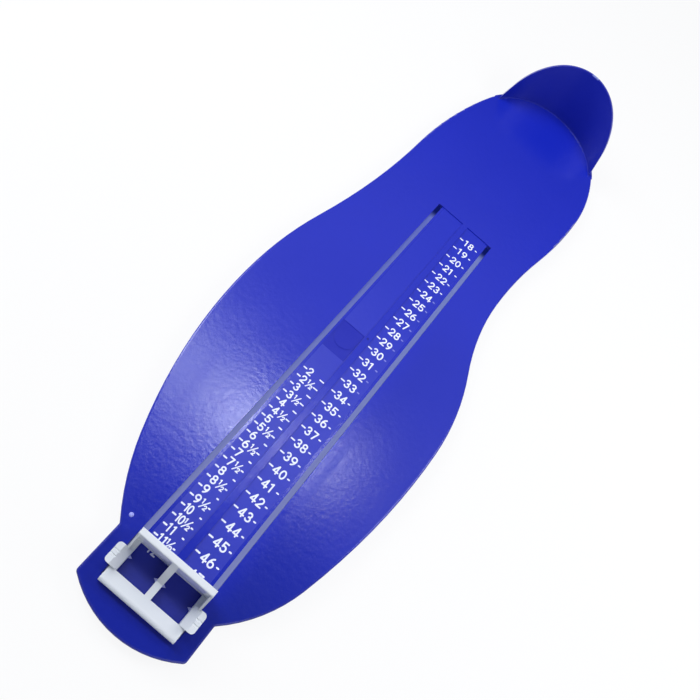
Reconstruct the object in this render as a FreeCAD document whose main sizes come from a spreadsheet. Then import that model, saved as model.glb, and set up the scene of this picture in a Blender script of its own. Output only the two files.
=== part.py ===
# Foot measuring device: a moulded foot plate with a heel cup, and a toe stop that slides along two slots.
#
# Every piece is drawn in the gauge's own frame, in millimetres: x = 0 on the middle line between the slots,
# y = 0 at the inside of the heel cup, +y behind the heel, +z up from the table. "Station" means a distance
# from the heel towards the toes, so station s lies at y = -s. The last step moves every piece so that the
# origin is the middle of the whole gauge's base.
import FreeCAD, Part
import Sketcher
import math
import os

Vector = FreeCAD.Vector

SIZES = [
    # alias, value, meaning
    ("deck_height", 7.0, "top of the deck above the table"),
    ("deck_thickness", 2.0, "thickness of the deck"),
    ("skirt_wall", 1.8, "wall that turns down round the deck"),
    ("rim_round", 0.9, "rounding of the deck's upper edge"),
    ("heel_radius", 39.5, "outside of the heel, in plan"),
    ("heel_back", 3.5, "back of the heel behind station 0"),
    ("heel_centre_x", 1.0, "middle of the heel's round, to the right of the slots' middle line"),
    ("right_heel_spread", 3.8, "widest point of the heel on the right, beyond the heel's round"),
    ("right_heel_station", 54.0, "where it is"),
    ("right_waist_x", 36.2, "narrowest point on the right"),
    ("right_waist_station", 133.0, "where it is"),
    ("right_ball_x", 52.7, "widest point at the ball of the foot, right"),
    ("right_ball_station", 214.0, "where it is"),
    ("right_flank_radius", 265.0, "side of the toes, right"),
    ("right_shoulder_station", 290.0, "where that side turns in to the tail"),
    ("right_notch_station", 317.4, "where it meets the tail"),
    ("left_waist_spread", 7.6, "end of the heel's side on the left, beyond the heel's round"),
    ("left_waist_station", 85.0, "where it is"),
    ("left_ball_x", 58.4, "widest point at the ball of the foot, left"),
    ("left_ball_station", 200.0, "where it is"),
    ("left_flank_radius", 215.0, "side of the toes, left"),
    ("left_shoulder_station", 285.0, "where that side turns in to the tail"),
    ("left_notch_station", 312.4, "where it meets the tail"),
    ("tail_half_width", 23.75, "half of the tail"),
    ("tail_reach", 21.1, "end of the tail beyond the right notch"),
    ("tail_end_radius", 43.6, "round of the tail's end"),
    ("tail_corner_round", 1.6, "corners of the tail's end"),
    ("notch_round", 0.8, "inner corners where the tail starts"),
    ("cup_height", 31.6, "heel cup above the deck"),
    ("cup_top_radius", 38.0, "round of the cup's outline at the top, as seen from the toes"),
    ("cup_top_turn", 20.0, "degrees of that round on each side"),
    ("cup_shoulder_radius", 29.0, "round of its shoulders"),
    ("cup_flank_slope", 76.0, "degrees between the deck and its straight flanks"),
    ("cup_base_wall", 2.5, "cup's wall at the deck"),
    ("cup_rim_wall", 1.5, "cup's wall at its rim"),
    ("cup_base_round", 0.6, "fillet between cup and deck"),
    ("cup_rim_round", 0.5, "rounding of the rim's outer edge"),
    ("cup_run_on", 8.0, "degrees by which the cup's wall runs on past its feet before the arch ends it"),
    ("slot_offset", 15.8, "middle of each slot from the middle line"),
    ("slot_width", 2.2, "width of each slot"),
    ("slot_heel_station", 108.4, "heel end of the slots"),
    ("slot_toe_station", 327.4, "toe end of the slots"),
    ("channel_depth", 0.45, "shallow channels that carry the scales"),
    ("land_width", 3.0, "land left between the two channels"),
    ("gate_depth", 0.2, "recess round the moulding's gate mark, below the channel"),
    ("gate_low_station", 193.9, "heel end of that recess"),
    ("gate_high_station", 209.7, "toe end of that recess"),
    ("gate_inner_x", 1.9, "side of that recess next to the land"),
    ("gate_outer_x", 13.4, "side of that recess next to the slot"),
    ("gate_disc_radius", 5.4, "round gate mark that stays at the channel's level"),
    ("gate_disc_station", 200.2, "middle of the gate mark"),
    ("rail_play", 1.5, "gap between the keeper and the rails under the deck"),
    ("rail_wall", 1.4, "thickness of the rails"),
    ("rail_heel_station", 100.0, "heel end of the rails"),
    ("rail_toe_station", 306.0, "toe end of the rails"),
    ("slider_lift", 0.25, "gap between the deck and the slider's frame"),
    ("frame_height", 4.6, "top of the slider's frame above the deck"),
    ("wall_height", 20.0, "top of the toe wall above the deck"),
    ("wall_base", 2.8, "toe wall's thickness at the deck"),
    ("wall_top", 2.3, "toe wall's thickness at its top"),
    ("wall_side_draft", 0.65, "how far each side of the toe wall leans in over its height"),
    ("wall_to_pointer", 8.4, "measuring face of the toe wall to the pointers"),
    ("pointer_to_bar", 5.7, "pointers to the rear bar"),
    ("rear_bar", 5.4, "width of the rear bar"),
    ("rear_bar_round", 1.6, "rounding of the rear bar's back edge"),
    ("edge_round", 0.45, "rounding of the slider's upper edges"),
    ("side_member", 2.55, "width of the frame beside each reading window"),
    ("rib_width", 2.6, "rib between the windows, and the web that it carries up the toe wall"),
    ("side_web", 0.8, "thickness of the webs at the ends of the toe wall"),
    ("web_run", 5.8, "how far the three webs reach from the toe wall"),
    ("web_drop", 1.2, "top of the webs below the toe wall's top"),
    ("pointer_length", 1.25, "length of the pointers"),
    ("pointer_width", 1.3, "width of the pointers where they start"),
    ("pointer_thickness", 0.9, "thickness of the pointers"),
    ("ear_reach", 2.75, "how far the finger ears stand out from the frame"),
    ("ear_ridge", 2.3, "width of the ears' flat ridge"),
    ("ear_height", 8.4, "top of the ears above the deck"),
    ("ear_ahead", 1.8, "ears' front before the pointers"),
    ("ear_round", 1.3, "rounding of the ears' corners"),
    ("groove_pitch", 1.7, "distance between the two grip grooves"),
    ("groove_width", 0.8, "width of a grip groove"),
    ("groove_depth", 0.5, "depth of a grip groove"),
    ("leg_thickness", 1.25, "thickness of the legs in the slots"),
    ("leg_play", 0.2, "gap between a leg and the inner side of its slot"),
    ("leg_length", 16.6, "length of the legs along the slots"),
    ("leg_setback", 0.6, "legs' front behind the measuring face"),
    ("leg_tip", 2.0, "lower end of the legs above the table"),
    ("hook_reach", 0.5, "how far the hooks stand out from the legs"),
    ("hook_length", 6.0, "length of each hook along the slots"),
    ("hook_play", 0.05, "gap between hook and keeper"),
    ("end_play", 0.3, "gap between legs and slot ends at both stops"),
    ("keeper_overhang", 2.5, "keeper's side beyond the legs"),
    ("keeper_thickness", 1.5, "thickness of the keeper"),
    ("keeper_drop", 0.35, "gap between the deck's underside and the keeper"),
    ("keeper_play", 0.12, "gap round the legs in the keeper"),
    ("keeper_margin", 0.8, "keeper's edge beyond the legs, along the slots"),
    ("keeper_round", 1.5, "keeper's corners"),
]

# Stations of the slider at rest, against the toe end of the slots.
LEG_BACK = "(sizes.slot_toe_station - sizes.end_play)"
LEG_FRONT = f"({LEG_BACK} - sizes.leg_length)"
WALL_FACE = f"({LEG_FRONT} - sizes.leg_setback)"
POINTER = f"({WALL_FACE} + sizes.wall_to_pointer)"
BAR_FRONT = f"({POINTER} + sizes.pointer_to_bar)"
BAR_BACK = f"({BAR_FRONT} + sizes.rear_bar)"
WEB_START = f"({WALL_FACE} + sizes.wall_top / 2)"
WEB_END = f"({WALL_FACE} + sizes.wall_base + sizes.web_run)"

# Its sides, from the middle line outwards.
LEG_INNER = "(sizes.slot_offset - sizes.slot_width / 2 + sizes.leg_play)"
LEG_OUTER = f"({LEG_INNER} + sizes.leg_thickness)"
WINDOW_SIDE = f"({LEG_OUTER} - sizes.side_member)"
EAR_SIDE = f"({LEG_OUTER} + sizes.ear_reach)"
KEEPER_SIDE = f"({LEG_OUTER} + sizes.keeper_overhang)"
RAIL_SIDE = f"({KEEPER_SIDE} + sizes.rail_play)"

# Its levels above the table.
FRAME_BOTTOM = "(sizes.deck_height + sizes.slider_lift)"
FRAME_TOP = "(sizes.deck_height + sizes.frame_height)"
EAR_TOP = "(sizes.deck_height + sizes.ear_height)"
WALL_TOP = "(sizes.deck_height + sizes.wall_height)"
WEB_TOP = f"({WALL_TOP} - sizes.web_drop)"
KEEPER_TOP = "(sizes.deck_height - sizes.deck_thickness - sizes.keeper_drop)"
KEEPER_BOTTOM = f"({KEEPER_TOP} - sizes.keeper_thickness)"

# Share of the run between two stations at which the outline's S-curve changes its bend.
RIGHT_HEEL_BEND = 0.5
RIGHT_WAIST_BEND = 0.5
LEFT_WAIST_BEND = 0.66

doc = FreeCAD.newDocument("foot_measuring_device")
sheet = doc.addObject("Spreadsheet::Sheet", "sizes")
for row, (alias, value, meaning) in enumerate(SIZES, start=1):
    sheet.set(f"A{row}", meaning)
    sheet.set(f"B{row}", str(value))
    sheet.setAlias(f"B{row}", alias)
doc.recompute()


def size(alias):
    """One driving size, read from the sheet."""
    return float(sheet.get(alias))


# ---------------------------------------------------------------- outline of the foot plate

def tail_end_station():
    """Station of the end of the tail, on the middle line."""
    return size("right_notch_station") + size("tail_reach")


def arc_run(centre, radius, start, end, convex=True):
    """One arc of the outline: u is outwards, v is the station, and both angles are measured from +u to +v."""
    return {"centre": centre, "radius": radius, "start": start, "end": end, "convex": convex}


def s_curve(u1, v1, u2, v2, share):
    """Two arcs from (u1, v1) to (u2, v2), tangent to each other and parallel to the gauge at both ends."""
    step = u2 - u1
    run = v2 - v1
    total = (step ** 2 + run ** 2) / (2 * abs(step))
    turn = math.asin(run / total)
    first = share * total
    second = total - first
    if step < 0:
        return [
            arc_run((u1 - first, v1), first, 0, turn),
            arc_run((u2 + second, v2), second, math.pi + turn, math.pi, convex=False),
        ]
    return [
        arc_run((u1 + first, v1), first, math.pi, math.pi - turn, convex=False),
        arc_run((u2 - second, v2), second, -turn, 0),
    ]


def heel_centre_station():
    """Station of the middle of the heel's round."""
    return size("heel_radius") - size("heel_back")


def heel_side(side, spread):
    """Distance outwards of the point that stands beyond the side of the heel's round by a spread."""
    return side * size("heel_centre_x") + size("heel_radius") + size(spread)


def heel_arcs(side, u, v):
    """Heel round from its rearmost point, and the tangent arc that ends parallel to the gauge at (u, v)."""
    centre = (side * size("heel_centre_x"), heel_centre_station())
    radius = size("heel_radius")
    across = u - centre[0]
    along = v - centre[1]
    outer = (across ** 2 + along ** 2 - radius ** 2) / (2 * (across - radius))
    outer_centre = (u - outer, v)
    meet = math.atan2(centre[1] - outer_centre[1], centre[0] - outer_centre[0])
    return [
        arc_run(centre, radius, -math.pi / 2, meet),
        arc_run(outer_centre, outer, meet, 0),
    ]


def toe_arcs(ball_u, ball_v, flank, shoulder_v, notch_v):
    """Long side of the toes, and the tangent arc that carries it round to the tail's notch."""
    turn = math.asin((shoulder_v - ball_v) / flank)
    normal = (math.cos(turn), math.sin(turn))
    shoulder = (ball_u - flank + flank * normal[0], shoulder_v)
    gap = (shoulder[0] - size("tail_half_width"), shoulder[1] - notch_v)
    radius = (gap[0] ** 2 + gap[1] ** 2) / (2 * (gap[0] * normal[0] + gap[1] * normal[1]))
    centre = (shoulder[0] - radius * normal[0], shoulder[1] - radius * normal[1])
    end = math.acos((size("tail_half_width") - centre[0]) / radius)
    return [
        arc_run((ball_u - flank, ball_v), flank, 0, turn),
        arc_run(centre, radius, turn, end),
    ]


def side_arcs(side):
    """Every arc of one side, from the back of the heel to the notch; side is 1 on the right, -1 on the left."""
    if side > 0:
        heel = (heel_side(side, "right_heel_spread"), size("right_heel_station"))
        waist = (size("right_waist_x"), size("right_waist_station"))
        ball = (size("right_ball_x"), size("right_ball_station"))
        arcs = heel_arcs(side, *heel)
        arcs += s_curve(*heel, *waist, RIGHT_HEEL_BEND)
        arcs += s_curve(*waist, *ball, RIGHT_WAIST_BEND)
        arcs += toe_arcs(*ball, size("right_flank_radius"), size("right_shoulder_station"),
                         size("right_notch_station"))
        return arcs
    waist = (heel_side(side, "left_waist_spread"), size("left_waist_station"))
    ball = (size("left_ball_x"), size("left_ball_station"))
    arcs = heel_arcs(side, *waist)
    arcs += s_curve(*waist, *ball, LEFT_WAIST_BEND)
    arcs += toe_arcs(*ball, size("left_flank_radius"), size("left_shoulder_station"),
                     size("left_notch_station"))
    return arcs


def on_plan(side, u, v):
    """Point of the plan from its distance outwards and its station."""
    return Vector(side * u, -v, 0)


def side_edges(side, inset):
    """Arcs and tail side of one side of the outline, moved inwards by inset, and the tail corner they end at."""
    arcs = side_arcs(side)
    tail = size("tail_half_width") - inset
    edges = []
    for arc in arcs:
        radius = arc["radius"] - inset if arc["convex"] else arc["radius"] + inset
        end = arc["end"]
        if arc is arcs[-1]:
            end = math.acos((tail - arc["centre"][0]) / radius)
        points = []
        for angle in (arc["start"], (arc["start"] + end) / 2, end):
            u = arc["centre"][0] + radius * math.cos(angle)
            v = arc["centre"][1] + radius * math.sin(angle)
            points.append(on_plan(side, u, v))
        edges.append(Part.Arc(*points))
    notch = points[-1]
    end_radius = size("tail_end_radius")
    end_centre = tail_end_station() - end_radius
    corner = on_plan(side, tail, end_centre + math.sqrt((end_radius - inset) ** 2 - tail ** 2))
    edges.append(Part.LineSegment(notch, corner))
    return edges, corner


def outline(inset=0.0):
    """Closed outline of the foot plate, moved inwards by inset."""
    right, right_corner = side_edges(1, inset)
    left, left_corner = side_edges(-1, inset)
    tail_tip = on_plan(1, 0, tail_end_station() - inset)
    return right + left + [Part.Arc(right_corner, tail_tip, left_corner)]


# ---------------------------------------------------------------- sketches and features

def origin_plane(body, role):
    """One of the body's own origin planes."""
    return next(item for item in body.Origin.OriginFeatures if item.Role == role)


def new_sketch(body, name, role, offset=None):
    """Sketch on one of the body's planes, moved along that plane's normal by an expression."""
    sketch = body.newObject("Sketcher::SketchObject", name)
    sketch.AttachmentSupport = [(origin_plane(body, role), "")]
    sketch.MapMode = "FlatFace"
    if offset:
        sketch.setExpression("AttachmentOffset.Base.z", offset)
    return sketch


def hold(sketch, kind, line, end, expression):
    """Hold one end of a sketch line at a distance from the sketch's origin, along x or y."""
    index = sketch.addConstraint(Sketcher.Constraint(kind, -1, 1, line, end, 1.0))
    sketch.setExpression(f"Constraints[{index}]", expression)


def add_polygon(sketch, points):
    """Closed polygon whose corners are held at (x, y) pairs of expressions."""
    count = len(points)
    first = sketch.GeometryCount
    for number in range(count):
        angle = 2 * math.pi * number / count
        following = 2 * math.pi * (number + 1) / count
        sketch.addGeometry(Part.LineSegment(
            Vector(math.cos(angle), math.sin(angle), 0),
            Vector(math.cos(following), math.sin(following), 0)))
    for number, (x, y) in enumerate(points):
        line = first + number
        previous = first + (number - 1) % count
        sketch.addConstraint(Sketcher.Constraint("Coincident", previous, 2, line, 1))
        hold(sketch, "DistanceX", line, 1, x)
        hold(sketch, "DistanceY", line, 1, y)


def add_rectangle(sketch, left, right, low, high):
    """Rectangle between two x and two y expressions."""
    add_polygon(sketch, [(left, low), (right, low), (right, high), (left, high)])


def pad(body, name, sketch, length, **settings):
    """Pad of a sketch; its length is an expression."""
    feature = body.newObject("PartDesign::Pad", name)
    feature.Profile = sketch
    feature.setExpression("Length", length)
    for key, value in settings.items():
        setattr(feature, key, value)
    body.Tip = feature
    doc.recompute()
    return feature


def pocket(body, name, sketch, length, **settings):
    """Pocket of a sketch; its length is an expression. The pocket must take something away."""
    before = body.Shape.Volume
    feature = body.newObject("PartDesign::Pocket", name)
    feature.Profile = sketch
    feature.setExpression("Length", length)
    for key, value in settings.items():
        setattr(feature, key, value)
    body.Tip = feature
    doc.recompute()
    if not body.Shape.Volume < before:
        raise RuntimeError(f"{name} takes nothing away")
    return feature


def loft(body, name, low, high):
    """Straight loft between two sketches."""
    feature = body.newObject("PartDesign::AdditiveLoft", name)
    feature.Profile = low
    feature.Sections = [high]
    feature.Ruled = True
    body.Tip = feature
    doc.recompute()


def fillet(body, name, radius, wanted):
    """Fillet of the edges of the body's shape that wanted picks; its radius is an expression."""
    base = body.Tip
    names = [f"Edge{number}" for number, edge in enumerate(base.Shape.Edges, start=1) if wanted(edge)]
    if not names:
        raise RuntimeError(f"{name} finds no edge")
    feature = body.newObject("PartDesign::Fillet", name)
    feature.Base = (base, names)
    feature.setExpression("Radius", radius)
    body.Tip = feature
    doc.recompute()
    return feature


def is_upright(edge):
    """True for a straight edge that runs along z."""
    low = edge.BoundBox
    return low.ZLength > 1e-3 and low.XLength < 1e-3 and low.YLength < 1e-3


def near(value, target, room=1e-3):
    """True where two lengths are the same."""
    return abs(value - target) < room


# ---------------------------------------------------------------- foot plate

def make_foot_plate():
    """Deck with its skirt, rails, slots and channels, and the heel cup: one moulding."""
    body = doc.addObject("PartDesign::Body", "foot_plate")
    body.Label = "foot_plate"
    deck_top = size("deck_height")
    tail = size("tail_half_width")

    blank = new_sketch(body, "plate_outline", "XY_Plane")
    blank.addGeometry(outline(), False)
    pad(body, "plate_blank", blank, "sizes.deck_height")

    def tail_corner(edge):
        middle = edge.CenterOfMass
        return is_upright(edge) and near(abs(middle.x), tail) and -middle.y > size("right_notch_station") + 1

    def notch_corner(edge):
        middle = edge.CenterOfMass
        return is_upright(edge) and near(abs(middle.x), tail) and -middle.y < size("right_notch_station") + 1

    fillet(body, "tail_corners", "sizes.tail_corner_round", tail_corner)
    fillet(body, "notch_corners", "sizes.notch_round", notch_corner)
    fillet(body, "deck_rim", "sizes.rim_round",
           lambda edge: near(edge.BoundBox.ZMin, deck_top) and near(edge.BoundBox.ZMax, deck_top))
    add_heel_cup(body)

    hollow = new_sketch(body, "underside_outline", "XY_Plane")
    hollow.addGeometry(outline(size("skirt_wall")), False)
    pocket(body, "underside", hollow, "sizes.deck_height - sizes.deck_thickness", Reversed=True)

    rails = new_sketch(body, "rail_plan", "XY_Plane")
    for sign in ("", "-"):
        add_rectangle(rails, f"{sign}{RAIL_SIDE}", f"{sign}({RAIL_SIDE} + sizes.rail_wall)",
                      "-sizes.rail_toe_station", "-sizes.rail_heel_station")
    pad(body, "rails", rails, "sizes.deck_height - sizes.deck_thickness / 2")

    slots = new_sketch(body, "slot_plan", "XY_Plane")
    for sign in ("", "-"):
        add_rectangle(slots,
                      f"{sign}(sizes.slot_offset - sizes.slot_width / 2)",
                      f"{sign}(sizes.slot_offset + sizes.slot_width / 2)",
                      "-sizes.slot_toe_station", "-sizes.slot_heel_station")
    pocket(body, "slots", slots, "sizes.deck_height", Reversed=True)

    channels = new_sketch(body, "channel_plan", "XY_Plane", "sizes.deck_height")
    for sign in ("", "-"):
        add_rectangle(channels,
                      f"{sign}(sizes.land_width / 2)",
                      f"{sign}(sizes.slot_offset)",
                      "-sizes.slot_toe_station", "-sizes.slot_heel_station")
    pocket(body, "channels", channels, "sizes.channel_depth")

    gate = new_sketch(body, "gate_plan", "XY_Plane", "sizes.deck_height - sizes.channel_depth")
    add_rectangle(gate, "-sizes.gate_outer_x", "-sizes.gate_inner_x",
                  "-sizes.gate_high_station", "-sizes.gate_low_station")
    disc = gate.addGeometry(Part.Circle(Vector(0, 0, 0), Vector(0, 0, 1), size("gate_disc_radius")))
    for kind, expression in (("DistanceX", "-(sizes.gate_outer_x + sizes.gate_inner_x) / 2"),
                             ("DistanceY", "-sizes.gate_disc_station")):
        index = gate.addConstraint(Sketcher.Constraint(kind, -1, 1, disc, 3, 1.0))
        gate.setExpression(f"Constraints[{index}]", expression)
    index = gate.addConstraint(Sketcher.Constraint("Radius", disc, 1.0))
    gate.setExpression(f"Constraints[{index}]", "sizes.gate_disc_radius")
    pocket(body, "gate_mark", gate, "sizes.gate_depth")
    return body


def cup_arch():
    """Right half of the cup's outline above the deck, as seen from the toes: (out, up) points in order."""
    top_turn = math.radians(size("cup_top_turn"))
    slope = math.radians(size("cup_flank_slope"))
    top_radius = size("cup_top_radius")
    shoulder_radius = size("cup_shoulder_radius")
    top_centre = size("cup_height") - top_radius
    shoulder_out = (top_radius - shoulder_radius) * math.sin(top_turn)
    shoulder_up = top_centre + (top_radius - shoulder_radius) * math.cos(top_turn)

    def on_top(turn):
        return top_radius * math.sin(turn), top_centre + top_radius * math.cos(turn)

    def on_shoulder(turn):
        return shoulder_out + shoulder_radius * math.sin(turn), shoulder_up + shoulder_radius * math.cos(turn)

    flank_out, flank_up = on_shoulder(slope)
    foot = (flank_out + flank_up / math.tan(slope), 0)
    return on_top(top_turn), on_shoulder((top_turn + slope) / 2), (flank_out, flank_up), foot


def add_heel_cup(body):
    """Thin wall that stands on the heel's edge, cut to an arch as seen from the toes."""
    deck_top = size("deck_height")
    centre_x = size("heel_centre_x")
    centre_y = -heel_centre_station()
    outer = centre_y + size("heel_radius")
    inner = outer - size("cup_base_wall")
    rim = outer - size("cup_rim_wall")
    round_in = size("cup_base_round")
    height = size("cup_height")
    bottom = deck_top - size("deck_thickness")
    arch_top = deck_top + height
    top_end, shoulder, flank, foot = cup_arch()

    section = new_sketch(body, "cup_section", "YZ_Plane", "sizes.heel_centre_x")
    corners = [
        Vector(inner - round_in, bottom, 0),
        Vector(outer, bottom, 0),
        Vector(outer, arch_top, 0),
        Vector(rim, arch_top, 0),
        Vector(inner, deck_top + round_in, 0),
        Vector(inner - round_in, deck_top, 0),
    ]
    fillet_centre = Vector(inner - round_in, deck_top + round_in, 0)
    middle = fillet_centre + Vector(math.sin(math.pi / 4), -math.cos(math.pi / 4), 0) * round_in
    for start, end in zip(corners[:4], corners[1:5]):
        section.addGeometry(Part.LineSegment(start, end), False)
    section.addGeometry(Part.Arc(corners[4], middle, corners[5]), False)
    section.addGeometry(Part.LineSegment(corners[5], corners[0]), False)
    section.addGeometry(Part.LineSegment(Vector(centre_y, 0, 0), Vector(centre_y, arch_top, 0)), True)

    wall = body.newObject("PartDesign::Revolution", "cup_wall")
    wall.Profile = section
    wall.ReferenceAxis = (section, ["Axis0"])
    wall.Midplane = True
    wall.Angle = 2 * (math.degrees(math.asin(foot[0] / size("heel_radius"))) + size("cup_run_on"))
    body.Tip = wall
    doc.recompute()

    arch = new_sketch(body, "cup_arch", "XZ_Plane")

    def place(side, point):
        return Vector(centre_x + side * point[0], deck_top + point[1], 0)

    beyond = size("heel_radius") + height
    low = (beyond, 0)
    high = (beyond, height * 2)
    for side in (1, -1):
        arch.addGeometry(Part.Arc(place(side, top_end), place(side, shoulder), place(side, flank)), False)
        for start, end in ((flank, foot), (foot, low), (low, high)):
            arch.addGeometry(Part.LineSegment(place(side, start), place(side, end)), False)
    arch.addGeometry(Part.Arc(place(1, top_end), place(1, (0, height)), place(-1, top_end)), False)
    arch.addGeometry(Part.LineSegment(place(1, high), place(-1, high)), False)
    pocket(body, "cup_outline", arch, "sizes.heel_radius * 4", Midplane=True)

    def on_outer_rim(edge):
        reaches = [math.hypot(end.X - centre_x, end.Y - centre_y) for end in edge.Vertexes]
        return edge.BoundBox.ZMax > deck_top + round_in and all(near(r, size("heel_radius")) for r in reaches)

    fillet(body, "cup_rim", "sizes.cup_rim_round", on_outer_rim)


# ---------------------------------------------------------------- slider

def make_slider_frame():
    """Frame with toe wall, windows, rib, pointers, ears and the two hooked legs: one moulding."""
    body = doc.addObject("PartDesign::Body", "slider_frame")
    body.Label = "slider_frame"
    frame_top = size("deck_height") + size("frame_height")
    wall_top = size("deck_height") + size("wall_height")

    plan = new_sketch(body, "frame_plan", "XY_Plane", FRAME_BOTTOM)
    add_rectangle(plan, f"-{LEG_OUTER}", LEG_OUTER, f"-{BAR_BACK}", f"-{WALL_FACE}")
    pad(body, "frame", plan, "sizes.frame_height - sizes.slider_lift")

    base = new_sketch(body, "wall_foot", "XY_Plane", FRAME_BOTTOM)
    add_rectangle(base, f"-{LEG_OUTER}", LEG_OUTER, f"-({WALL_FACE} + sizes.wall_base)", f"-{WALL_FACE}")
    top = new_sketch(body, "wall_head", "XY_Plane", WALL_TOP)
    add_rectangle(top, f"-({LEG_OUTER} - sizes.wall_side_draft)", f"{LEG_OUTER} - sizes.wall_side_draft",
                  f"-({WALL_FACE} + sizes.wall_top)", f"-{WALL_FACE}")
    loft(body, "toe_wall", base, top)
    add_side_webs(body)

    ears = new_sketch(body, "ear_section", "XZ_Plane", f"({POINTER} - sizes.ear_ahead)")
    for sign in ("", "-"):
        add_polygon(ears, [
            (f"{sign}{WINDOW_SIDE}", FRAME_BOTTOM),
            (f"{sign}{EAR_SIDE}", FRAME_BOTTOM),
            (f"{sign}{EAR_SIDE}", EAR_TOP),
            (f"{sign}({EAR_SIDE} - sizes.ear_ridge)", EAR_TOP),
            (f"{sign}{WINDOW_SIDE}", FRAME_TOP),
        ])
    pad(body, "ears", ears, "sizes.ear_ahead + sizes.pointer_to_bar")

    windows = new_sketch(body, "window_plan", "XY_Plane", FRAME_BOTTOM)
    for sign in ("", "-"):
        add_rectangle(windows, f"{sign}sizes.rib_width / 2", f"{sign}{WINDOW_SIDE}",
                      f"-{BAR_FRONT}", f"-({WALL_FACE} + sizes.wall_base)")
    pocket(body, "windows", windows, "sizes.frame_height * 2", Reversed=True)

    web = new_sketch(body, "web_section", "YZ_Plane")
    add_polygon(web, [
        (f"-{WEB_END}", FRAME_TOP),
        (f"-{WEB_START}", FRAME_TOP),
        (f"-{WEB_START}", WEB_TOP),
        (f"-({WALL_FACE} + sizes.wall_top)", WEB_TOP),
    ])
    pad(body, "rib_web", web, "sizes.rib_width", Midplane=True)

    def ear_corner(edge):
        return is_upright(edge) and near(abs(edge.CenterOfMass.x), body.Tip.Shape.BoundBox.XMax)

    def wall_rim(edge):
        box = edge.BoundBox
        return near(box.ZMin, wall_top) and near(box.ZMax, wall_top)

    def bar_back(edge):
        box = edge.BoundBox
        return near(box.ZMin, frame_top) and near(box.ZMax, frame_top) \
            and near(box.YMax, body.Tip.Shape.BoundBox.YMin)

    fillet(body, "ear_corners", "sizes.ear_round", ear_corner)
    fillet(body, "bar_back_edge", "sizes.rear_bar_round", bar_back)
    fillet(body, "wall_rim", "sizes.edge_round", wall_rim)

    add_grooves(body)
    add_pointers(body)
    add_legs(body)
    return body


def add_side_webs(body):
    """Thin web at each end of the toe wall, flush with the wall's leaning side."""
    full_rise = "(sizes.wall_height - sizes.slider_lift)"
    foot_rise = "(sizes.frame_height - sizes.slider_lift)"
    foot_side = f"({LEG_OUTER} - sizes.wall_side_draft * {foot_rise} / {full_rise})"
    head_side = f"({LEG_OUTER} - sizes.wall_side_draft * ({full_rise} - sizes.web_drop) / {full_rise})"
    for name, sign in (("left", "-"), ("right", "")):
        foot = new_sketch(body, f"{name}_web_foot", "XY_Plane", FRAME_TOP)
        add_rectangle(foot, f"{sign}({foot_side} - sizes.side_web)", f"{sign}{foot_side}",
                      f"-{WEB_END}", f"-{WEB_START}")
        head = new_sketch(body, f"{name}_web_head", "XY_Plane", WEB_TOP)
        add_rectangle(head, f"{sign}({head_side} - sizes.side_web)", f"{sign}{head_side}",
                      f"-({WALL_FACE} + sizes.wall_top)", f"-{WEB_START}")
        loft(body, f"{name}_web", foot, head)


def add_grooves(body):
    """Two grip grooves across the ridge of each ear."""
    middle = f"({POINTER} + (sizes.pointer_to_bar - sizes.ear_ahead) / 2)"
    plan = new_sketch(body, "groove_section", "YZ_Plane")
    for sign in ("-", "+"):
        station = f"({middle} {sign} sizes.groove_pitch / 2)"
        add_polygon(plan, [
            (f"-({station} + sizes.groove_width)", f"({EAR_TOP} + sizes.groove_depth)"),
            (f"-{station}", f"({EAR_TOP} - sizes.groove_depth)"),
            (f"-({station} - sizes.groove_width)", f"({EAR_TOP} + sizes.groove_depth)"),
        ])
    pocket(body, "grip_grooves", plan, f"{EAR_SIDE} * 4", Midplane=True)


def add_pointers(body):
    """Four small pointers at the lower edge of the windows, two in each."""
    plan = new_sketch(body, "pointer_plan", "XY_Plane", FRAME_BOTTOM)
    for sign in ("", "-"):
        for root, step in ((WINDOW_SIDE, "-"), ("sizes.rib_width / 2", "+")):
            add_polygon(plan, [
                (f"{sign}({root})", f"-({POINTER} + sizes.pointer_width / 2)"),
                (f"{sign}({root} {step} sizes.pointer_length)", f"-{POINTER}"),
                (f"{sign}({root})", f"-({POINTER} - sizes.pointer_width / 2)"),
            ])
    pad(body, "pointers", plan, "sizes.pointer_thickness")


def add_legs(body):
    """Two legs that pass down through the slots, each with a hook at its lower end."""
    legs = new_sketch(body, "leg_plan", "XY_Plane", "sizes.leg_tip")
    hooks = new_sketch(body, "hook_plan", "XY_Plane", "sizes.leg_tip")
    for sign in ("", "-"):
        add_rectangle(legs, f"{sign}{LEG_INNER}", f"{sign}{LEG_OUTER}", f"-{LEG_BACK}", f"-{LEG_FRONT}")
        add_rectangle(hooks, f"{sign}{LEG_INNER}", f"{sign}({LEG_OUTER} + sizes.hook_reach)",
                      f"-({LEG_BACK} - sizes.leg_length / 2 + sizes.hook_length / 2)",
                      f"-({LEG_BACK} - sizes.leg_length / 2 - sizes.hook_length / 2)")
    pad(body, "legs", legs, f"{FRAME_BOTTOM} - sizes.leg_tip + sizes.frame_height / 2")
    pad(body, "hooks", hooks, f"{KEEPER_BOTTOM} - sizes.hook_play - sizes.leg_tip")


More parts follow.
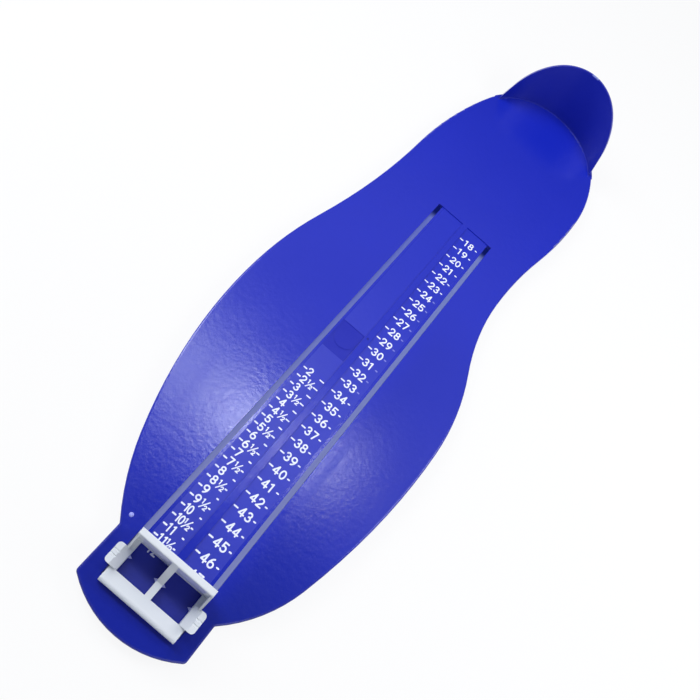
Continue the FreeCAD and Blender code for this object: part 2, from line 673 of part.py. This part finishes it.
def make_slider_keeper():
    """Clip plate under the deck, with a hole for each leg."""
    body = doc.addObject("PartDesign::Body", "slider_keeper")
    body.Label = "slider_keeper"
    plan = new_sketch(body, "keeper_plan", "XY_Plane", KEEPER_BOTTOM)
    add_rectangle(plan, f"-{KEEPER_SIDE}", KEEPER_SIDE,
                  f"-({LEG_BACK} + sizes.keeper_margin)", f"-({LEG_FRONT} - sizes.keeper_margin)")
    pad(body, "keeper_blank", plan, "sizes.keeper_thickness")
    fillet(body, "keeper_corners", "sizes.keeper_round", is_upright)

    holes = new_sketch(body, "keeper_holes", "XY_Plane", KEEPER_BOTTOM)
    for sign in ("", "-"):
        add_rectangle(holes,
                      f"{sign}({LEG_INNER} - sizes.keeper_play)",
                      f"{sign}({LEG_OUTER} + sizes.keeper_play)",
                      f"-({LEG_BACK} + sizes.keeper_play)", f"-({LEG_FRONT} - sizes.keeper_play)")
    pocket(body, "leg_holes", holes, "sizes.keeper_thickness", Reversed=True)
    return body


# ---------------------------------------------------------------- assembly

bodies = [make_foot_plate(), make_slider_frame(), make_slider_keeper()]

# The origin of the whole gauge is the middle of its base.
middle_x = (size("right_ball_x") - size("left_ball_x")) / 2
middle_y = (size("heel_back") - tail_end_station()) / 2
for body in bodies:
    body.Placement = FreeCAD.Placement(Vector(-middle_x, -middle_y, 0), FreeCAD.Rotation())
doc.recompute()

for item in doc.Objects:
    if "Invalid" in item.State or "Error" in item.State:
        raise RuntimeError(f"{item.Label} did not build: {item.State}")

os.makedirs("parts", exist_ok=True)
for body in bodies:
    shape = body.Shape
    if shape.isNull() or not shape.isValid():
        raise RuntimeError(f"{body.Label} has no valid shape")
    shape.exportStep(f"parts/{body.Label}.step")
    print(f"{body.Label}: {len(shape.Solids)} solid, {shape.Volume:.1f} mm3, {shape.BoundBox}")
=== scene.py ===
"""Foot measuring device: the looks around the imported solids, in metres."""
import math

import bmesh
import bpy
from mathutils import Matrix, Vector
from mathutils.bvhtree import BVHTree
from mathutils.geometry import delaunay_2d_cdt


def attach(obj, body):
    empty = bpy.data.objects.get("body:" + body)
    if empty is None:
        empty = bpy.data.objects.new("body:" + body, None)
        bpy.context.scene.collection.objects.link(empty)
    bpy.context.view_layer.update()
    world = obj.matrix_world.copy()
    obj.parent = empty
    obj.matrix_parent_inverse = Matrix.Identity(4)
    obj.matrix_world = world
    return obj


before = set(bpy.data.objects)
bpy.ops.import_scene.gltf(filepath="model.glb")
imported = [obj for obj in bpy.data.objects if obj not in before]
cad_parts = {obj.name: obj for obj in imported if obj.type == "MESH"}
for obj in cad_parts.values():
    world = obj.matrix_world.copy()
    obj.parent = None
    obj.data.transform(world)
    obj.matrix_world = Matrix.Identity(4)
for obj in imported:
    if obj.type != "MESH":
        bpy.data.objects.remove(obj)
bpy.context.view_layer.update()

MM = 0.001

# Places on the gauge, in mm. A station is the distance from the heel, towards the toes.
MIDDLE_X = 2.85                 # the slots' middle line
HEEL_Y = 167.5                  # station 0
DECK_Z = 7.0
CHANNEL = (7.4, 5.8)            # a channel's middle and half width, beside the middle line
WINDOW = (7.2, 5.7)             # the same for the toe wall's hollow over each reading window
CUP_START = (100.0, 105.0)      # the heel cup's masks fade in between these y

# The printed scales, in mm.
PARIS_POINT = 6.6667            # one EU size
EU_SIZES = range(18, 48)
EU_ZERO = 0.56                  # the EU size that falls on station 0
FAINT_SIZES = range(24, 34)     # the right dashes of these are worn
UK_HALVES = range(4, 25)        # UK sizes 2 to 12, in halves
UK_FIRST = 34.01                # the EU size beside UK 2
UK_STEP = 1.332                 # EU sizes from one UK size to the next
UK_SHIFT = 0.54                 # as EU_ZERO, for the UK scale
EU_HAND = dict(height=3.85, squeeze=1.0, width=0.64, gap=0.42)
UK_HAND = dict(height=3.45, squeeze=1.05, width=0.62, gap=0.3)
UK_NARROW_HAND = dict(height=3.45, squeeze=0.8, width=0.56, gap=0.3)
LEFT_DASH, RIGHT_DASH = 0.64, 0.6       # the strokes' widths beside a number
INK_THICKNESS = 0.025
INK_SUNK = 0.01                 # how far the ink reaches into the plate
INK_EDGE = 0.7                  # longer edges are divided, so that the ink follows the surface


def at(x, station, z):
    """A point given from the slots' middle line, from the heel, and above the table, in mm."""
    return Vector(((x + MIDDLE_X) * MM, (HEEL_Y - station) * MM, z * MM))


def link(obj):
    bpy.context.scene.collection.objects.link(obj)
    return obj


def add_piece(name, mesh, material):
    """Makes a piece of the plate from a bmesh, which is freed."""
    data = bpy.data.meshes.new(name)
    mesh.to_mesh(data)
    mesh.free()
    data.materials.append(material)
    piece = link(bpy.data.objects.new(name, data))
    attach(piece, "plate")


def looking(right, up, ahead, place):
    """The matrix of a lamp or camera that looks ahead from a place."""
    matrix = Matrix((right, up, -ahead)).transposed().to_4x4()
    matrix.translation = place
    return matrix


# ---------------------------------------------------------------- nodes

class Nodes:
    """A node tree, with short calls for the nodes used here."""

    def __init__(self, tree):
        self.tree = tree

    def new(self, kind, **settings):
        node = self.tree.nodes.new(kind)
        for key, value in settings.items():
            setattr(node, key, value)
        return node

    def join(self, source, target):
        self.tree.links.new(source, target)

    def put(self, value, socket):
        if isinstance(value, bpy.types.NodeSocket):
            self.join(value, socket)
        else:
            socket.default_value = value

    def math(self, operation, a, b=0.0, c=0.0, clamp=False):
        node = self.new("ShaderNodeMath", operation=operation, use_clamp=clamp)
        for socket, value in zip(node.inputs, (a, b, c)):
            self.put(value, socket)
        return node.outputs[0]

    def product(self, *factors):
        result = factors[0]
        for factor in factors[1:]:
            result = self.math("MULTIPLY", result, factor)
        return result

    def away(self, value, middle):
        """The distance from the middle."""
        return self.math("ABSOLUTE", self.math("SUBTRACT", value, middle))

    def seen_ray(self):
        """1 for rays of the camera, of reflections and of glass, and 0 for those that light a surface."""
        path = self.new("ShaderNodeLightPath").outputs
        seen = self.math("MAXIMUM", path["Is Camera Ray"], path["Is Glossy Ray"])
        return self.math("MAXIMUM", seen, path["Is Transmission Ray"])

    def mix_shaders(self, factor, first, second):
        node = self.new("ShaderNodeMixShader")
        for socket, source in zip(node.inputs, (factor, first.outputs[0], second.outputs[0])):
            self.join(source, socket)
        return node.outputs[0]

    def place(self):
        """Object coordinates in mm: the pieces' objects all sit at the origin."""
        coordinates = self.new("ShaderNodeTexCoord")
        scaled = self.new("ShaderNodeVectorMath", operation="SCALE")
        self.join(coordinates.outputs["Object"], scaled.inputs[0])
        scaled.inputs["Scale"].default_value = 1 / MM
        split = self.new("ShaderNodeSeparateXYZ")
        self.join(scaled.outputs[0], split.inputs[0])
        return scaled.outputs[0], split.outputs

    def noise(self, vector, scale, detail, roughness):
        node = self.new("ShaderNodeTexNoise")
        self.join(vector, node.inputs["Vector"])
        node.inputs["Scale"].default_value = scale
        node.inputs["Detail"].default_value = detail
        node.inputs["Roughness"].default_value = roughness
        return node.outputs["Fac"]

    def spread(self, value, low, high, to_low=0.0, to_high=1.0):
        """Smoothly from to_low, where the value is low, to to_high."""
        node = self.new("ShaderNodeMapRange", interpolation_type="SMOOTHSTEP")
        self.put(value, node.inputs["Value"])
        node.inputs["From Min"].default_value = low
        node.inputs["From Max"].default_value = high
        node.inputs["To Min"].default_value = to_low
        node.inputs["To Max"].default_value = to_high
        return node.outputs[0]

    def band(self, value, middle, half, soft):
        """1 within half of the middle, and down to 0 over the soft edge."""
        return self.spread(self.away(value, middle), half, half + soft, 1.0, 0.0)

    def blend(self, factor, first, second):
        """From the first colour to the second; a colour is three numbers or a socket."""
        node = self.new("ShaderNodeMix", data_type="RGBA")
        self.put(factor, node.inputs[0])
        for socket, colour in ((node.inputs[6], first), (node.inputs[7], second)):
            self.put((*colour, 1.0) if isinstance(colour, tuple) else colour, socket)
        return node.outputs[2]

    def bump(self, height, distance, strength, normal=None):
        node = self.new("ShaderNodeBump")
        node.inputs["Strength"].default_value = strength
        node.inputs["Distance"].default_value = distance
        self.join(height, node.inputs["Height"])
        if normal is not None:
            self.join(normal, node.inputs["Normal"])
        return node.outputs[0]


def new_material(name):
    material = bpy.data.materials.new(name)
    material.use_nodes = True
    return material, Nodes(material.node_tree)


def set_shader(nodes, colour, rough, normal):
    shader = nodes.tree.nodes["Principled BSDF"]
    nodes.join(colour, shader.inputs["Base Color"])
    nodes.join(rough, shader.inputs["Roughness"])
    nodes.join(normal, shader.inputs["Normal"])


# ---------------------------------------------------------------- materials of the object

def blue_plastic():
    """The plate's plastic: glossy, with the marks that the moulding left.

    It is duller in the channels and along two sink lines. Painted shade makes its blue deeper towards the
    toe end, on the right side, in the cup and in the recess.
    """
    material, n = new_material("blue_plastic")
    place, (x, y, z) = n.place()
    clouds = n.noise(place, 0.03, 3.0, 0.55)
    grain = n.noise(place, 1.2, 3.0, 0.6)
    peel = n.noise(place, 0.45, 2.0, 0.55)
    waves = n.noise(place, 0.07, 2.0, 0.5)

    floor = n.product(n.spread(z, 6.6, 6.8, 1.0, 0.0), n.band(n.away(x, MIDDLE_X), *CHANNEL, 0.3))
    recess = n.product(n.band(x, MIDDLE_X - 7.65, 5.75, 0.2), n.band(y, HEEL_Y - 201.8, 7.9, 0.2))
    foot = n.product(n.band(z, DECK_Z + 0.5, 0.42, 0.06), n.spread(y, *CUP_START))
    cup = n.product(n.spread(z, DECK_Z, DECK_Z + 0.08), n.spread(y, *CUP_START))
    left_slant = n.math("ADD", x, n.product(y, 0.118))
    left_line = n.product(n.band(left_slant, -47.4, 0.7, 2.0), n.band(y, -88.0, 8.0, 12.0))
    right_line = n.product(n.band(x, MIDDLE_X + 21.3, 0.7, 1.6), n.band(y, -85.0, 16.0, 12.0))
    trimmed = n.product(n.band(x, MIDDLE_X + 1.0, 1.8, 0.5), n.spread(z, 38.0, 38.4))
    pin_mark = n.product(n.band(x, MIDDLE_X - 0.2, 0.35, 0.3), n.band(y, HEEL_Y - 193.9, 0.35, 0.3))

    # Painted shade: the blue darkens towards the toe end and along the right side.
    right = n.spread(x, MIDDLE_X + 13.0, MIDDLE_X + 26.0)
    toe_end = n.spread(y, -165.0, -110.0, 0.85, 0.0)
    painted_shade = n.math("MULTIPLY_ADD", right, n.spread(y, -15.0, 20.0, 0.25, 0.0), toe_end)
    painted_shade = n.math("MULTIPLY_ADD", right, n.spread(y, -120.0, -98.0, 0.25, 0.0), painted_shade, clamp=True)

    colour = n.blend(clouds, (0.0078, 0.0200, 0.440), (0.0098, 0.0225, 0.480))
    colour = n.blend(painted_shade, colour, (0.0062, 0.0165, 0.29))
    for mask, share, other in (
            # Painted shade darkens the heel cup.
            (cup, 0.4, (0.004, 0.012, 0.27)),
            # Painted shade darkens the recess, which is also glossier.
            (recess, 0.5, (0.002, 0.007, 0.36)),
            (pin_mark, 0.7, (0.001, 0.003, 0.12)),
            (trimmed, 0.6, (0.38, 0.45, 0.85))):
        colour = n.blend(n.product(mask, share), colour, other)

    rough = n.math("ADD", n.spread(clouds, 0.3, 0.7, 0.178, 0.205), n.spread(grain, 0.3, 0.7, -0.02, 0.03))
    for mask, more in (
            (floor, 0.2), (recess, -0.19), (foot, 0.5), (cup, 0.15), (left_line, 0.04), (right_line, 0.045)):
        rough = n.math("MULTIPLY_ADD", mask, more, rough)

    normal = n.bump(grain, 0.00004, 0.5)
    normal = n.bump(peel, 0.00005, 1.0, normal)
    set_shader(n, colour, rough, n.bump(waves, 0.0001, 0.3, normal))
    return material


def white_plastic():
    """The slider's plastic, with painted blue bounce light and shade on its pointers and low parts and
    between its toe wall's webs.
    """
    material, n = new_material("white_plastic")
    place, (x, y, z) = n.place()
    clouds = n.noise(place, 0.08, 3.0, 0.55)
    grain = n.noise(place, 2.5, 2.0, 0.5)
    # Painted blue bounce light and shade on the toe wall between its webs, stronger towards the right.
    between = n.product(
        n.band(n.away(x, MIDDLE_X), *WINDOW, 0.3), n.band(y, HEEL_Y - 317.6, 5.6, 0.3),
        n.band(z, 19.0, 7.0, 0.5), n.spread(x, MIDDLE_X - 6.0, MIDDLE_X + 10.0, 0.3, 0.6))
    # Painted blue bounce light and shade on all parts below 8.3 mm, the pointers among them.
    painted_low_bounce = n.spread(z, 8.3, 8.6, 0.75, 0.0)
    colour = n.blend(clouds, (0.815, 0.84, 0.84), (0.855, 0.87, 0.865))
    colour = n.blend(n.math("ADD", between, painted_low_bounce, clamp=True), colour, (0.4, 0.42, 0.9))
    rough = n.math("ADD", n.spread(clouds, 0.3, 0.7, 0.34, 0.40), n.spread(grain, 0.35, 0.65, -0.02, 0.02))
    set_shader(n, colour, rough, n.bump(grain, 0.00002, 0.25))
    return material


def white_ink(name, cover_share):
    """Printing ink; where it covers only in part, the plate's blue shows through."""
    material, n = new_material(name)
    place, _ = n.place()
    cover = n.noise(place, 1.1, 3.0, 0.6)
    ink = n.blend(n.spread(cover, 0.35, 0.6), (0.80, 0.82, 0.93), (0.93, 0.94, 0.97))
    colour = n.blend(cover_share, (0.015, 0.028, 0.52), ink)
    set_shader(n, colour, n.spread(cover, 0.3, 0.7, 0.5, 0.6), n.bump(cover, 0.00001, 0.3))
    return material


def whitened_plastic():
    """The plate's plastic where a trimmed gate has bruised it."""
    material, n = new_material("whitened_plastic")
    place, _ = n.place()
    grain = n.noise(place, 3.0, 2.0, 0.5)
    colour = n.blend(grain, (0.2, 0.23, 0.8), (0.5, 0.52, 0.95))
    set_shader(n, colour, n.spread(grain, 0.3, 0.7, 0.3, 0.5), n.bump(grain, 0.00004, 0.5))
    return material


# ---------------------------------------------------------------- gate stub

def gate_stub(name, x, station, radius, rise, material, rings=5, turns=24, sunk=0.1):
    """The low dome that a trimmed gate leaves on the deck."""
    mesh = bmesh.new()

    def ring_of(wide, z):
        return [mesh.verts.new(at(x + wide * math.cos(2 * math.pi * k / turns),
                                  station + wide * math.sin(2 * math.pi * k / turns), z))
                for k in range(turns)]

    loops = [ring_of(radius, DECK_Z - sunk)]
    for ring in range(rings):
        lift = math.pi / 2 * ring / rings
        loops.append(ring_of(radius * math.cos(lift), DECK_Z + rise * math.sin(lift)))
    for low, up in zip(loops, loops[1:]):
        for k in range(turns):
            mesh.faces.new((low[k], low[(k + 1) % turns], up[(k + 1) % turns], up[k]))
    top = mesh.verts.new(at(x, station, DECK_Z + rise))
    for k in range(turns):
        mesh.faces.new((loops[-1][k], loops[-1][(k + 1) % turns], top))
    mesh.faces.new(loops[0])
    bmesh.ops.recalc_face_normals(mesh, faces=list(mesh.faces))
    for face in mesh.faces:
        face.smooth = True
    add_piece(name, mesh, material)


# ---------------------------------------------------------------- printed scales

def line(x0, y0, x1, y1):
    return [(x0, y0), (x1, y1)]


def arc(cx, cy, rx, ry, start, end, steps=22):
    turns = [math.radians(start + (end - start) * i / steps) for i in range(steps + 1)]
    return [(cx + rx * math.cos(t), cy + ry * math.sin(t)) for t in turns]


def oval(cx, cy, rx, ry):
    """A closed round in two strokes, which overlap a little at the top."""
    return [arc(cx, cy, rx, ry, -90, 95), arc(cx, cy, rx, ry, 90, 275)]


# Middle lines of the strokes: height 1 from the base line, width about 0.5 round x = 0.
DIGITS = {
    "0": oval(0, 0.5, 0.26, 0.425),
    "1": [line(0.07, 0.075, 0.07, 0.925), line(-0.14, 0.80, 0.07, 0.925)],
    "2": [arc(0, 0.675, 0.24, 0.25, 172, -38) + [(-0.25, 0.075)], line(-0.25, 0.075, 0.26, 0.075)],
    "3": [arc(-0.01, 0.71, 0.215, 0.215, 155, -90), arc(0, 0.30, 0.25, 0.225, 90, -155)],
    "4": [line(0.10, 0.925, -0.28, 0.27), line(-0.28, 0.27, 0.28, 0.27), line(0.11, 0.925, 0.11, 0.075)],
    "5": [line(-0.18, 0.925, 0.22, 0.925), line(-0.18, 0.925, -0.21, 0.50),
          arc(-0.02, 0.335, 0.265, 0.26, 138, -152)],
    "6": oval(0, 0.325, 0.255, 0.25) + [arc(0.27, 0.33, 0.525, 0.63, 180, 112)],
    "7": [line(-0.25, 0.925, 0.25, 0.925), line(0.25, 0.925, -0.06, 0.075)],
    "8": oval(0, 0.715, 0.21, 0.21) + oval(0, 0.30, 0.25, 0.225),
    "9": oval(0, 0.675, 0.255, 0.25) + [arc(-0.27, 0.67, 0.525, 0.63, 0, -68)],
}
CAP_STEPS = 8


def ribbon(points, width):
    """The outline of a stroke with round ends."""
    half = width / 2
    left, right = [], []
    for i, (x, y) in enumerate(points):
        ax, ay = points[max(i - 1, 0)]
        bx, by = points[min(i + 1, len(points) - 1)]
        length = math.hypot(bx - ax, by - ay)
        nx, ny = -(by - ay) / length, (bx - ax) / length
        left.append((x + nx * half, y + ny * half))
        right.append((x - nx * half, y - ny * half))

    def cap(centre, first):
        start = math.atan2(first[1] - centre[1], first[0] - centre[0])
        return [(centre[0] + half * math.cos(start - math.pi * k / CAP_STEPS),
                 centre[1] + half * math.sin(start - math.pi * k / CAP_STEPS))
                for k in range(1, CAP_STEPS)]

    return (left + cap(points[-1], left[-1]) + right[::-1] + cap(points[0], right[0]))[::-1]


def strokes(character, x, station, height, squeeze, width):
    """A digit's outlines in mm, its middle at x and station, its top towards the heel."""
    shapes = []
    for path in DIGITS[character]:
        placed = [(x + px * height * squeeze, (py - 0.5) * height - station) for px, py in path]
        shapes.append(ribbon(placed, width))
    return shapes


class Print:
    """Flat ink figures that lie on the plate's surface."""

    def __init__(self, name, surface):
        self.name = name
        self.surface = surface
        self.mesh = bmesh.new()

    def figure(self, shapes):
        """One figure: the union of its outlines, still flat, in mm."""
        points, faces = [], []
        for shape in shapes:
            faces.append(list(range(len(points), len(points) + len(shape))))
            points += [Vector(p) for p in shape]
        flat, _, triangles, _, _, origins = delaunay_2d_cdt(points, [], faces, 0, 1e-5)
        made = {}
        for triangle, origin in zip(triangles, origins):
            if not origin:
                continue
            for i in triangle:
                if i not in made:
                    made[i] = self.mesh.verts.new((flat[i].x, flat[i].y, 0.0))
            self.mesh.faces.new([made[i] for i in triangle])

    def finish(self, material):
        """Divides the figures finely, lays them on the surface and gives them their thickness."""
        mesh = self.mesh
        for _ in range(3):
            long = [e for e in mesh.edges if e.calc_length() > INK_EDGE]
            if long:
                bmesh.ops.subdivide_edges(mesh, edges=long, cuts=1)
                bmesh.ops.triangulate(mesh, faces=[f for f in mesh.faces if len(f.verts) > 3])
        for vertex in mesh.verts:
            above = at(vertex.co.x, -vertex.co.y, 20.0)
            hit = self.surface.ray_cast(above, Vector((0, 0, -1)))[0]
            vertex.co = Vector((above.x, above.y, hit.z - INK_SUNK * MM))
        for face in mesh.faces:
            face.normal_update()
            if face.normal.z > 0:
                face.normal_flip()
        raised = bmesh.ops.extrude_face_region(mesh, geom=list(mesh.faces), use_keep_orig=True)["geom"]
        for part in raised:
            if isinstance(part, bmesh.types.BMVert):
                part.co.z += (INK_THICKNESS + INK_SUNK) * MM
        bmesh.ops.recalc_face_normals(mesh, faces=list(mesh.faces))
        add_piece(self.name, mesh, material)


def write(ink, text, left, station, height, squeeze, width, gap):
    """A number with its left side at that x; its middle lies at the station."""
    x = left
    for place, character in enumerate(text):
        narrow = character == "1"
        wide = (0.36 if narrow else 0.67) * height * squeeze
        shift = 0.035 * height * squeeze if narrow else 0.0
        ink.figure(strokes(character, x + wide / 2 + shift, station, height, squeeze, width))
        x += wide + gap
        if narrow and place == 0 and text[1:] != "0":
            x += 0.2 * height * squeeze


def dash(ink, x0, x1, station, width):
    half = width / 2
    ink.figure([ribbon([(x0 + half, -station), (x1 - half, -station)], width)])


def print_eu(surface, material, faint_material):
    """The EU sizes: their numbers and right dashes stand closer to the middle line round size 34."""
    eu = Print("scale_eu", surface)
    faint = Print("scale_eu_faint", surface)
    for size in EU_SIZES:
        station = PARIS_POINT * (size - EU_ZERO)
        closer = 0.8 * math.exp(-((size - 34) / 8) ** 2)
        dash(eu, 1.9, 4.1, station, LEFT_DASH)
        write(eu, str(size), 5.05 - closer, station, **EU_HAND)
        dash(faint if size in FAINT_SIZES else eu, 11.5 - closer, 12.8 - closer, station, RIGHT_DASH)
    eu.finish(material)
    faint.finish(faint_material)


def print_uk(surface, material):
    """The UK sizes with their halves: the right dashes get shorter towards the toes."""
    uk = Print("scale_uk", surface)
    for halves in UK_HALVES:
        size = halves / 2
        station = PARIS_POINT * (UK_FIRST + UK_STEP * (size - 2) - UK_SHIFT)
        whole = str(halves // 2)
        dash(uk, -13.0, -11.05, station, LEFT_DASH)
        dash(uk, -4.35, max(-3.2, -1.95 - 0.18 * (size - 2)), station, RIGHT_DASH)
        if len(whole) == 1:
            write(uk, whole, -10.6, station, **UK_HAND)
        else:
            write(uk, whole, -10.75, station, **UK_NARROW_HAND)
        if halves % 2:
            uk.figure(strokes("1", -7.1, station - 0.85, 1.95, 0.9, 0.45))
            uk.figure([ribbon([(-4.95, 1.75 - station), (-7.15, -1.75 - station)], 0.45)])
            uk.figure(strokes("2", -5.15, station + 0.85, 1.85, 1.05, 0.45))
    uk.finish(material)


def surface_of(node):
    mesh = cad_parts[node].data
    corners = [v.co.copy() for v in mesh.vertices]
    return BVHTree.FromPolygons(corners, [list(p.vertices) for p in mesh.polygons])


blue = blue_plastic()
white = white_plastic()
for name, material in (("foot_plate", blue), ("slider_frame", white), ("slider_keeper", white)):
    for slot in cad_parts[name].material_slots:
        slot.material = material
gate_stub("gate_stub", -22.7, 308.0, 0.85, 0.35, whitened_plastic())
plate_surface = surface_of("foot_plate")
ink = white_ink("white_ink", 1.0)
print_eu(plate_surface, ink, white_ink("thin_ink", 0.25))
print_uk(plate_surface, ink)


# ---------------------------------------------------------------- floor

FLOOR_REACH = 4.0
FLOOR_Z = -0.00005
TAIL_ROUND = (-127.4, 41.7)     # y of the centre of the tail's round end, and a radius just inside it


def floor_material():
    """A white floor that keeps some shadow. Where the plate hides it, painted blue bounce light makes it
    blue below the slots, and painted shade makes it dark round them.
    """
    material, n = new_material("floor")
    tree = material.node_tree
    tree.nodes.remove(tree.nodes["Principled BSDF"])
    _, (x, y, _) = n.place()
    beside = n.away(x, MIDDLE_X)

    under = n.product(n.spread(beside, 22.3, 22.8, 1.0, 0.0), n.band(y, -26.0, 136.0, 1.0))
    centre_y, radius = TAIL_ROUND
    ahead = n.math("ADD", y, -centre_y)
    round_end = n.math("SQRT", n.math("MULTIPLY_ADD", ahead, ahead, n.product(beside, beside)))
    toe_end = n.product(
        n.spread(round_end, radius, radius + 0.5, 1.0, 0.0), n.spread(y, -150.0, -149.0, 1.0, 0.0),
        n.spread(beside, 21.8, 22.3, 1.0, 0.0))
    under = n.math("MAXIMUM", under, toe_end)
    # Painted shade: dark under the plate beyond the slots' ends and beside them.
    unlit = n.math("MAXIMUM", n.spread(y, 54.0, 60.0), n.spread(y, -156.0, -150.0, 1.0, 0.0))
    dark = n.product(under, n.math("MAXIMUM", unlit, n.spread(beside, 17.8, 18.2)))

    # Painted blue bounce light in the strips seen through the slots.
    heel_end = n.blend(n.spread(x, MIDDLE_X - 1.0, MIDDLE_X + 1.0), (0.17, 0.24, 0.98), (0.26, 0.35, 1.0))
    strip = n.blend(n.spread(y, -120.0, 30.0), (0.3, 0.36, 0.87), heel_end)
    shown = n.blend(dark, n.blend(under, (1.0, 1.0, 1.0), strip), (0.01, 0.02, 0.25))
    # Under the plate the floor's own colour also carries the painted shade.
    lit = n.blend(dark, (0.92, 0.92, 0.92), (0.03, 0.05, 0.3))
    paper = n.new("ShaderNodeBsdfDiffuse")
    glow = n.new("ShaderNodeEmission")
    n.join(lit, paper.inputs["Color"])
    n.join(shown, glow.inputs["Color"])
    share = n.product(n.seen_ray(), n.math("SUBTRACT", 0.9, n.product(under, 0.48)))
    n.join(n.mix_shaders(share, paper, glow), tree.nodes["Material Output"].inputs["Surface"])
    return material


def add_floor():
    data = bpy.data.meshes.new("floor")
    corners = [(-1, -1), (1, -1), (1, 1), (-1, 1)]
    data.from_pydata([(x * FLOOR_REACH, y * FLOOR_REACH, FLOOR_Z) for x, y in corners], [], [(0, 1, 2, 3)])
    data.materials.append(floor_material())
    link(bpy.data.objects.new("floor", data))


add_floor()


# ---------------------------------------------------------------- light

def soft_light(name, place, aim, size, power, colour=(1.0, 1.0, 1.0)):
    """A rectangle that shines at a point; its first side runs across the object."""
    lamp = bpy.data.lights.new(name, "AREA")
    lamp.shape = "RECTANGLE"
    lamp.size, lamp.size_y = size
    lamp.energy = power
    lamp.color = colour
    place = Vector(place)
    shine = (Vector(aim) - place).normalized()
    first = Vector((1.0, 0.0, 0.0))
    first = (first - shine * first.dot(shine)).normalized()
    second = (-shine).cross(first)
    link(bpy.data.objects.new(name, lamp)).matrix_world = looking(first, second, shine, place)


# The first three give the deck's long sheen and its two glare patches, and the panels light the sides.
AIM = (0.0, -0.06, 0.0)
soft_light("long_light", (-0.887, 0.208, 0.95), AIM, (2.245, 0.239), 9.7, (0.93, 0.98, 1.06))
soft_light("left_lamp", (-0.066, 0.191, 0.95), AIM, (0.064, 0.056), 0.42, (0.93, 0.97, 1.1))
soft_light("right_lamp", (0.119, 0.232, 0.95), AIM, (0.02, 0.08), 0.36, (0.95, 0.97, 1.1))
soft_light("left_panel", (-0.26, 0.05, 0.28), (0.0, -0.02, 0.0), (0.18, 0.18), 0.5)
soft_light("right_panel", (0.26, 0.05, 0.28), (0.0, -0.02, 0.0), (0.18, 0.18), 0.6)
soft_light("front_panel", (0.45, -0.55, 0.5), (0.0, -0.12, 0.0), (0.5, 0.4), 1.0)

# The room's grey by the height of the direction, from 0 at the horizon and below to 1 straight up.
ROOM_GREYS = (
    (0.25, 1.0), (0.45, 0.15), (0.6, 0.12), (0.68, 0.3), (0.74, 0.6), (0.81, 0.72), (0.87, 0.62),
    (0.93, 0.5), (1.0, 0.1))


def studio_world():
    """Soft fill; the camera and reflections see a room that is white round the horizon and grey above."""
    world = bpy.data.worlds.new("studio")
    world.use_nodes = True
    n = Nodes(world.node_tree)
    n.tree.nodes.clear()
    split = n.new("ShaderNodeSeparateXYZ")
    n.join(n.new("ShaderNodeTexCoord").outputs["Generated"], split.inputs[0])
    height = n.new("ShaderNodeValToRGB")
    n.join(split.outputs["Z"], height.inputs[0])
    height.color_ramp.interpolation = "CARDINAL"
    stops = height.color_ramp.elements
    stops.remove(stops[1])
    stops[0].position, lowest = ROOM_GREYS[0]
    stops[0].color = (lowest, lowest, lowest, 1.0)
    for place, grey in ROOM_GREYS[1:]:
        stops.new(place).color = (grey, grey, grey, 1.0)

    fill = n.new("ShaderNodeBackground")
    fill.inputs["Color"].default_value = (0.5, 0.62, 1.0, 1.0)
    fill.inputs["Strength"].default_value = 0.19
    room = n.new("ShaderNodeBackground")
    n.join(height.outputs[0], room.inputs["Color"])
    out = n.new("ShaderNodeOutputWorld")
    n.join(n.mix_shaders(n.seen_ray(), fill, room), out.inputs["Surface"])
    bpy.context.scene.world = world


studio_world()


# ---------------------------------------------------------------- camera

SENSOR_WIDTH, FOCAL_LENGTH = 36.0, 31.62
CAMERA_PLACE = (-0.00006, -0.15857, 0.23715)
CAMERA_PITCH = math.radians(62.0)       # below the horizon
CAMERA_ROLL = math.radians(40.9)


def add_camera():
    lens = bpy.data.cameras.new("camera")
    lens.sensor_width = SENSOR_WIDTH
    lens.lens = FOCAL_LENGTH
    lens.clip_start = 0.01
    forward = Vector((0.0, math.cos(CAMERA_PITCH), -math.sin(CAMERA_PITCH)))
    across = Vector((1.0, 0.0, 0.0))
    upward = Vector((0.0, math.sin(CAMERA_PITCH), math.cos(CAMERA_PITCH)))
    side = across * math.cos(CAMERA_ROLL) + upward * math.sin(CAMERA_ROLL)
    top = upward * math.cos(CAMERA_ROLL) - across * math.sin(CAMERA_ROLL)
    camera = link(bpy.data.objects.new("camera", lens))
    camera.matrix_world = looking(side, top, forward, CAMERA_PLACE)
    bpy.context.scene.camera = camera


add_camera()
bpy.context.scene.view_settings.view_transform = "Standard"
